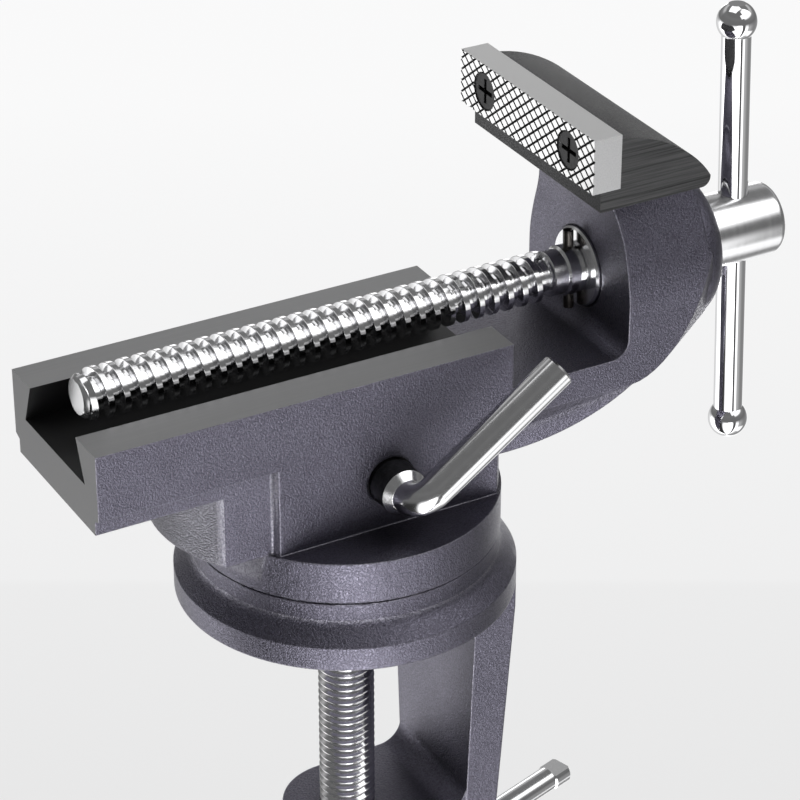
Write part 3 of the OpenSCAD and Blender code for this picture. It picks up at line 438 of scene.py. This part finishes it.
def steel_finish(name, colour, rough, stretch, marks, metallic=1.0):
    """Steel with fine tool marks, drawn out by stretch and as strong as marks."""
    made, tree, surface = new_material(name)
    lines = noise(tree, stretched_place(tree, stretch), 1.0, 4.0)
    darker = tuple(c * (1 - marks) for c in colour)
    lighter = tuple(min(1, c * (1 + marks)) for c in colour)
    tree.links.new(mixed(tree, lines, darker, lighter), surface.inputs["Base Color"])
    sheen = remapped(tree, lines, 0.0, 1.0, rough * 0.75, rough * 1.25)
    tree.links.new(sheen, surface.inputs["Roughness"])
    surface.inputs["Metallic"].default_value = metallic
    marked = raised(tree, lines, 0.01 * mm * marks, strength=0.5)
    tree.links.new(marked, surface.inputs["Normal"])
    return made


sheet_steel = steel_finish(
    "sheet steel", (0.5, 0.5, 0.5), 0.4, (900, 900, 900), 0.2
)
finish_node("swivel_washer", sheet_steel)


# Body
# One casting as well: bed, pedestal, arm, neck, boss and jaw head. The bed is
# milled bright on its top and its end, and milled in its slot, which is coloured near-black as
# painted shade;
# the jaw head is milled on its two ends, where the cutter leaves long dark lines.
def shaped_end(name, metal, line, cuts, rough):
    """Grey iron with long, dark cutter lines along the vise."""
    made, tree, surface = new_material(name)
    cutter = noise(tree, stretched_place(tree, cuts), 1.0, 3.0, Roughness=0.65)
    sharp = remapped(tree, cutter, 0.36, 0.56)
    tree.links.new(mixed(tree, sharp, line, metal), surface.inputs["Base Color"])
    surface.inputs["Roughness"].default_value = rough
    surface.inputs["Metallic"].default_value = 0.4
    tree.links.new(raised(tree, sharp, 0.04 * mm), surface.inputs["Normal"])
    return made


milled_bed = steel_finish(
    "milled iron bed", (0.40, 0.40, 0.405), 0.42, (40, 3000, 3000), 0.12, 0.8
)
milled_end = steel_finish(
    "milled iron end", (0.17, 0.17, 0.172), 0.5, (120, 2600, 500), 0.25, 0.7
)
milled_jaw = shaped_end(
    "shaped jaw end", (0.118, 0.118, 0.12), (0.025, 0.025, 0.026), (18, 900, 1300), 0.5
)
# Painted shade: the inside of the slot is coloured near-black.
slot_in_shade = steel_finish(
    "slot in painted shade", (0.03, 0.03, 0.031), 0.45, (120, 2600, 2600), 0.3, 0.5
)
bare_casting = cast_finish(
    "bare jaw casting",
    dark=(0.031, 0.031, 0.032), light=(0.095, 0.095, 0.099), wear_and_glint_colour=(0.25, 0.25, 0.26),
    size=0.4 * mm, glint_flecks=0.3, depth=0.05 * mm, rounding=0.3 * mm,
    rough=(0.55, 0.42), flake=0.35,
)
finishes = (casting_paint, milled_bed, milled_end, milled_jaw, bare_casting, slot_in_shade)
body = copy_node("vise_body", "cast_body")
body.data.materials.clear()
for finish in finishes:
    body.data.materials.append(finish)
bed_top, bed_front, bed_back = 65.85 * mm, -73.75 * mm, 34 * mm
slot_low, slot_half = 55.5 * mm, 16.8 * mm
head_low, jaw_low_end, jaw_high_end = 98.3 * mm, -30 * mm, 26.6 * mm
near, square_on = 0.1 * mm, 0.9


def body_finish(face):
    """The finish of a face of the body, by its place and the way it looks."""
    middle, out_way = face.center, face.normal
    over_bed = middle.x < bed_back
    if over_bed and abs(middle.z - bed_top) < near and out_way.z > square_on:
        return milled_bed
    if abs(middle.x - bed_front) < near and out_way.x < -square_on:
        return milled_end
    # Slot faces take the near-black painted shade
    if over_bed and slot_low < middle.z < bed_top and abs(middle.y) < slot_half:
        return slot_in_shade
    if middle.z > head_low:
        at_end = middle.y < jaw_low_end + near or middle.y > jaw_high_end - near
        return milled_jaw if at_end and abs(out_way.y) > square_on else bare_casting
    return casting_paint


for face in body.data.polygons:
    face.material_index = finishes.index(body_finish(face))
even_normals(body)
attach(body, "vise")
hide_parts("vise_body")


# Jaw plate
# A bar of ground tool steel, its face cut with crossed grooves that turn near-black
# with depth between bright flats. Its face and top are coloured lighter than its sides as
# painted light.
plate_face, plate_end, plate_top = 48.65 * mm, 29.99 * mm, 116.89 * mm
flat_depth, groove_dark_depth, cut_depth = 0.03 * mm, 0.12 * mm, 0.45 * mm


def place_parts(tree):
    """The three coordinates of a point on the object."""
    split = add_node(tree, "ShaderNodeSeparateXYZ")
    tree.links.new(object_place(tree), split.inputs[0])
    return split.outputs["X"], split.outputs["Y"], split.outputs["Z"]


jaw_steel, tree, surface = new_material("ground jaw steel")
x, y, z = place_parts(tree)
# The grooves darken to near-black and lose their metal with depth below the flats.
groove_dark = remapped(tree, x, plate_face + flat_depth, plate_face + groove_dark_depth)
for gate in (
    maths(tree, "LESS_THAN", x, plate_face + cut_depth),
    maths(tree, "LESS_THAN", maths(tree, "ABSOLUTE", y), plate_end),
    maths(tree, "LESS_THAN", z, plate_top),
):
    groove_dark = maths(tree, "MULTIPLY", groove_dark, gate)
sand = noise(tree, object_place(tree), 2600, 3.0)
steel = mixed(tree, sand, (0.45, 0.45, 0.455), (0.64, 0.64, 0.645))
# Painted light: the knurled face and the top are coloured lighter than the sides.
painted_light_mask = maths(
    tree, "MAXIMUM",
    maths(tree, "LESS_THAN", x, plate_face + flat_depth),
    maths(tree, "GREATER_THAN", z, plate_top),
)
painted_light_steel = mixed(tree, painted_light_mask, steel, (0.85, 0.85, 0.85))
groove_darkened = mixed(tree, groove_dark, painted_light_steel, (0.012, 0.012, 0.013))
tree.links.new(groove_darkened, surface.inputs["Base Color"])
tree.links.new(maths(tree, "SUBTRACT", 1.0, groove_dark), surface.inputs["Metallic"])
surface.inputs["Roughness"].default_value = 0.42
tree.links.new(raised(tree, sand, 0.01 * mm, strength=0.6), surface.inputs["Normal"])
finish_node("jaw_plate", jaw_steel)


# Jaw screws
# Countersunk machine screws in black oxide.
def blackened(name, dark, light, rough, metallic=0.45):
    """Black oxide on steel, faintly grained, with softened edges."""
    made, tree, surface = new_material(name)
    grain = place_group(tree, grain_group, Size=1.1 * mm, Specks=0.1)
    oxide = mixed(tree, grain.outputs["Tone"], dark, light)
    tree.links.new(oxide, surface.inputs["Base Color"])
    surface.inputs["Roughness"].default_value = rough
    surface.inputs["Metallic"].default_value = metallic
    surface.inputs["Specular IOR Level"].default_value = 0.3
    edge = add_node(tree, "ShaderNodeBevel", samples=4)
    edge.inputs["Radius"].default_value = 0.2 * mm
    grained = raised(tree, grain.outputs["Height"], 0.008 * mm, normal=edge.outputs[0])
    tree.links.new(grained, surface.inputs["Normal"])
    return made


black_oxide = blackened("black oxide", (0.012, 0.012, 0.013), (0.040, 0.040, 0.042), 0.42)
finish_node("jaw_screws", black_oxide)


# Lead screw
# Turned from one bar and plated: a rolled trapezoid thread with rounded
# crests, a plain shaft for the bush, and a head bored across for the handle.
smooth_below = math.radians(28)


def turn_on_lathe(name, outline, sides=96):
    """A closed turned piece along X, from (x, radius) pairs in metres."""
    clear_selection()
    x, r = outline[0]
    bpy.ops.mesh.primitive_circle_add(
        vertices=sides, radius=r, fill_type="NGON", location=(x, 0, 0),
        rotation=(0, math.pi / 2, 0),
    )
    piece = bpy.context.object
    piece.name = name
    bpy.ops.object.transform_apply(location=True, rotation=True, scale=True)
    bpy.ops.object.mode_set(mode="EDIT")
    bpy.ops.mesh.select_all(action="SELECT")
    for x_next, r_next in outline[1:]:
        bpy.ops.mesh.extrude_region_move(
            TRANSFORM_OT_translate={"value": (x_next - x, 0, 0)}
        )
        bpy.ops.transform.resize(
            value=(1, r_next / r, r_next / r), center_override=(x_next, 0, 0)
        )
        x, r = x_next, r_next
    bpy.ops.mesh.select_all(action="SELECT")
    bpy.ops.mesh.normals_make_consistent(inside=False)
    bpy.ops.object.mode_set(mode="OBJECT")
    bpy.ops.object.shade_smooth_by_angle(angle=smooth_below)
    return piece


def rounded(x, r, radius, from_deg, to_deg, steps=6):
    """Outline points of a turned fillet about (x, r)."""
    turn = [math.radians(from_deg + (to_deg - from_deg) * i / steps) for i in range(steps + 1)]
    return [(x + radius * math.cos(a), r + radius * math.sin(a)) for a in turn]


def cut_thread(name, profile, pitch, start, turns, steps, limit):
    """A helical surface along X. profile has (x, radius) over one pitch, and
    limit(x) is the largest radius at x."""
    clear_selection()
    bpy.ops.mesh.primitive_plane_add(size=mm, location=(0, 0, 0))
    piece = bpy.context.object
    piece.name = name
    bpy.ops.object.mode_set(mode="EDIT")
    bpy.ops.mesh.select_mode(type="VERT")
    bpy.ops.mesh.select_all(action="DESELECT")
    bpy.ops.object.mode_set(mode="OBJECT")
    for i, corner in enumerate(piece.data.vertices):
        corner.select = i > 0
    bpy.ops.object.mode_set(mode="EDIT")
    bpy.ops.mesh.delete(type="VERT")
    bpy.ops.object.mode_set(mode="OBJECT")
    x, r = profile[0]
    piece.data.vertices[0].co = (start + x, 0, r)
    piece.data.vertices[0].select = True
    bpy.ops.object.mode_set(mode="EDIT")
    for x_next, r_next in profile[1:]:
        bpy.ops.mesh.extrude_region_move(
            TRANSFORM_OT_translate={"value": (x_next - x, 0, r_next - r)}
        )
        x, r = x_next, r_next
    bpy.ops.object.mode_set(mode="OBJECT")
    winding = piece.modifiers.new("winding", "SCREW")
    winding.axis = "X"
    winding.angle = math.tau
    winding.screw_offset = pitch
    winding.iterations = turns
    winding.steps = steps
    winding.render_steps = steps
    bpy.ops.object.modifier_apply(modifier="winding")
    for point in piece.data.vertices:
        r = math.hypot(point.co.y, point.co.z)
        held = min(r, limit(point.co.x))
        point.co.y *= held / r
        point.co.z *= held / r
    bpy.ops.object.mode_set(mode="EDIT")
    bpy.ops.mesh.select_all(action="SELECT")
    bpy.ops.mesh.remove_doubles(threshold=0.004 * mm)
    bpy.ops.mesh.select_all(action="DESELECT")
    bpy.ops.mesh.select_non_manifold()
    bpy.ops.mesh.fill()
    bpy.ops.mesh.select_all(action="SELECT")
    bpy.ops.mesh.normals_make_consistent(inside=False)
    bpy.ops.object.mode_set(mode="OBJECT")
    bpy.ops.object.shade_smooth_by_angle(angle=math.radians(35))
    flat_crests = piece.modifiers.new("flat crests", "WEIGHTED_NORMAL")
    flat_crests.keep_sharp = True
    flat_crests.weight = 90
    bpy.ops.object.modifier_apply(modifier="flat crests")
    return piece


def settle(piece, turn, height=0.0):
    """Turns a piece made along X to its real direction, and lifts it."""
    take_up(piece)
    piece.rotation_euler = turn
    piece.location = (0, 0, height)
    bpy.ops.object.transform_apply(location=True, rotation=True, scale=True)


def bore_across(piece, place, radius, way, length=60 * mm):
    """Drills a hole right through piece, along way."""
    clear_selection()
    bpy.ops.mesh.primitive_cylinder_add(
        vertices=64, radius=radius, depth=length, location=place
    )
    drill = bpy.context.object
    drill.rotation_mode = "QUATERNION"
    drill.rotation_quaternion = Vector(way).to_track_quat("Z", "Y")
    take_up(piece)
    hole = piece.modifiers.new("hole", "BOOLEAN")
    hole.object = drill
    hole.operation = "DIFFERENCE"
    hole.solver = "EXACT"
    bpy.ops.object.modifier_apply(modifier="hole")
    bpy.data.objects.remove(drill)
    bpy.ops.object.shade_smooth_by_angle(angle=smooth_below)


plated = steel_finish(
    "plated thread", (0.80, 0.80, 0.81), 0.13, (60, 1400, 1400), 0.08
)
satin_plated = steel_finish(
    "satin plated head", (0.80, 0.80, 0.81), 0.22, (2200, 60, 60), 0.08
)
screw_height, screw_turn = 68.2 * mm, (math.radians(-3), 0, 0)
crest_r, root_r, pitch = 6.1 * mm, 4.1 * mm, 4.0 * mm
crest_round, rise_x, fall_x = 0.16 * mm, 0.46 * mm, 2.02 * mm
lead_profile = (
    [(0.0, root_r + 0.05 * mm)]
    + rounded(rise_x + crest_round, crest_r - crest_round, crest_round, 165, 90, 4)
    + rounded(fall_x - crest_round, crest_r - crest_round, crest_round, 90, 15, 4)
    + [(2.44 * mm, root_r + 0.14 * mm), (2.60 * mm, root_r), (3.85 * mm, root_r)]
    + [(pitch, root_r + 0.05 * mm)]
)
tip_x, tip_r, tip_end = -67.8 * mm, 5.2 * mm, -66.18 * mm
shaft_x, shaft_r = 55.0 * mm, 5.6 * mm
core_r = root_r - 0.1 * mm


def lead_limit(x):
    """Keeps the thread inside the plain tip and the shaft, and lets it run out."""
    if x < tip_end:
        return tip_r - 0.05 * mm
    if x > shaft_x - 0.02 * mm:
        return shaft_r - 0.05 * mm
    return min(crest_r, tip_r + x - tip_end + 0.1 * mm)


lead_thread = cut_thread(
    "lead_screw_thread", lead_profile, pitch, -68.0 * mm, 30, 64, lead_limit
)
settle(lead_thread, screw_turn, screw_height)
lead_thread.data.materials.append(plated)
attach(lead_thread, "screw")
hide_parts("lead_screw")

head_x, head_end, head_r = 98.65 * mm, 119.9 * mm, 9.3 * mm
head_round, head_edge = 2.2 * mm, 0.5 * mm
lead_outline = (
    [(tip_x, 4.2 * mm), (tip_x + 0.3 * mm, 4.6 * mm)]
    + [(tip_x + 0.85 * mm, tip_r - 0.1 * mm), (tip_x + 0.97 * mm, tip_r)]
    + [(tip_end - 0.07 * mm, tip_r), (tip_end, tip_r - 0.08 * mm)]
    + [(tip_end, core_r), (shaft_x - 0.6 * mm, core_r)]
    + [(shaft_x - 0.02 * mm, shaft_r - 0.15 * mm), (shaft_x + 0.15 * mm, shaft_r)]
    + [(head_x, shaft_r), (head_x, head_r - head_edge)]
    + rounded(head_x + head_edge, head_r - head_edge, head_edge, 180, 90)[1:]
    + rounded(head_end - head_round, head_r - head_round, head_round, 90, 0, 10)
)
lead_blank = turn_on_lathe("lead_screw_shaft_and_head", lead_outline)
bore_across(lead_blank, (109.4 * mm, 0, 0), 3.78 * mm, (0, 0, 1))
settle(lead_blank, screw_turn, screw_height)
lead_blank.data.materials.append(satin_plated)
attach(lead_blank, "screw")
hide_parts("lead_screw")


# Stop collar
# A turned ring on the shaft, held by a hollow spring pin that went in dark.
finish_node("stop_collar", plated)
spring_pin_steel = blackened(
    "spring pin steel", (0.025, 0.022, 0.020), (0.075, 0.066, 0.060), 0.3
)
finish_node("retaining_pin", spring_pin_steel)


# Bush
# The bush in the neck and the thrust washer under the head are turned steel.
turned_steel = steel_finish(
    "turned steel", (0.72, 0.72, 0.73), 0.18, (2600, 120, 120), 0.1
)
finish_node("screw_bush", turned_steel)
finish_node("thrust_washer", turned_steel)


# T-handle
# A plated bar with a plated ball pressed on each end.
mirror_plate = steel_finish(
    "mirror plate", (0.90, 0.90, 0.91), 0.035, (700, 700, 30), 0.03
)
for name in ("handle_bar", "handle_ball_top", "handle_ball_bottom"):
    finish_node(name, mirror_plate)


# Cam lock
# A black shaft through the body with a bent, plated rod pressed in its end. The
# shaft's chamfered end is turned bright.
satin_rod = steel_finish(
    "satin plated rod", (0.80, 0.80, 0.81), 0.16, (500, 900, 500), 0.06
)
chamfer_y = -29.56 * mm
oxide_rough, oxide_metal = 0.38, 0.45
knob_steel = blackened(
    "knob steel", (0.012, 0.012, 0.013), (0.045, 0.045, 0.047), oxide_rough, oxide_metal
)
tree = knob_steel.node_tree
surface = tree.nodes["Principled BSDF"]
oxide = surface.inputs["Base Color"].links[0].from_socket
on_ring = maths(tree, "LESS_THAN", place_parts(tree)[1], chamfer_y)
ring_or_oxide = mixed(tree, on_ring, oxide, (0.78, 0.78, 0.79))
tree.links.new(ring_or_oxide, surface.inputs["Base Color"])
for label, on_oxide, on_steel in (
    ("Metallic", oxide_metal, 1.0), ("Roughness", oxide_rough, 0.2),
):
    by_place = remapped(tree, on_ring, 0.0, 1.0, on_oxide, on_steel)
    tree.links.new(by_place, surface.inputs[label])
finish_node("lock_shaft", knob_steel)
finish_node("lock_bushes", black_oxide)
finish_node("lock_clip", spring_pin_steel)
finish_node("lock_lever", satin_rod)


# Draw bolt
# The eye bolt, its disc spring and its nut, in plain steel under the base.
for name in ("draw_bolt", "draw_washer", "draw_nut"):
    finish_node(name, sheet_steel)


# Clamp screw
# A coarse plated screw with a turned head, bored across for its sliding bar.
clamp_pitch, clamp_crest, clamp_root = 2.0 * mm, 7.0 * mm, 5.9 * mm
clamp_round, thread_top = 0.2 * mm, -14.1 * mm
clamp_profile = (
    [(0.0, clamp_root), (0.12 * mm, clamp_root + 0.06 * mm)]
    + [(0.80 * mm, clamp_crest - 0.16 * mm)]
    + rounded(clamp_pitch / 2, clamp_crest - clamp_round, clamp_round, 150, 30, 4)
    + [(1.88 * mm, clamp_root + 0.06 * mm), (clamp_pitch, clamp_root)]
)
upright = (0, -math.pi / 2, 0)


def clamp_limit(x):
    """Tapers the thread off at its top, down to just under its root."""
    return max(clamp_root - 0.05 * mm, min(clamp_crest, clamp_root + thread_top - x))


clamp_thread = cut_thread(
    "clamp_screw_thread", clamp_profile, clamp_pitch, -95.2 * mm, 40, 48, clamp_limit
)
settle(clamp_thread, upright)
clamp_thread.data.materials.append(plated)
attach(clamp_thread, "clamp_spindle")
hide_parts("clamp_screw")

clamp_foot, foot_round = -112.0 * mm, 1.2 * mm
clamp_core_r, pad_pin_r, pad_seat_x = 5.8 * mm, 4.9 * mm, -13.15 * mm
clamp_outline = (
    [(clamp_foot, 7.6 * mm)]
    + rounded(clamp_foot + foot_round, 7.8 * mm, foot_round, 180, 90)[1:]
    + rounded(-94.4 * mm, 8.4 * mm, 0.6 * mm, 90, 0)
    + [(-93.8 * mm, clamp_core_r), (pad_seat_x, clamp_core_r), (pad_seat_x, pad_pin_r)]
    + [(-6.9 * mm, pad_pin_r), (-6.4 * mm, 4.4 * mm)]
)
clamp_blank = turn_on_lathe("clamp_screw_head_and_core", clamp_outline)
settle(clamp_blank, upright)
bar_bearing = math.radians(17.4)
bore_across(
    clamp_blank, (0, 0, -103.3 * mm), 3.42 * mm,
    (math.cos(bar_bearing), math.sin(bar_bearing), 0),
)
clamp_blank.data.materials.append(satin_plated)
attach(clamp_blank, "clamp_spindle")
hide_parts("clamp_screw")


# Clamp pad
# A turned pad with its snap ring, which stays still while the screw turns.
finish_node("clamp_pad", turned_steel)
finish_node("pad_clip", spring_pin_steel)


# Lower bar
# A plated rod with its two ends pressed flat so that it can't slip out.
finish_node("clamp_bar", satin_rod)
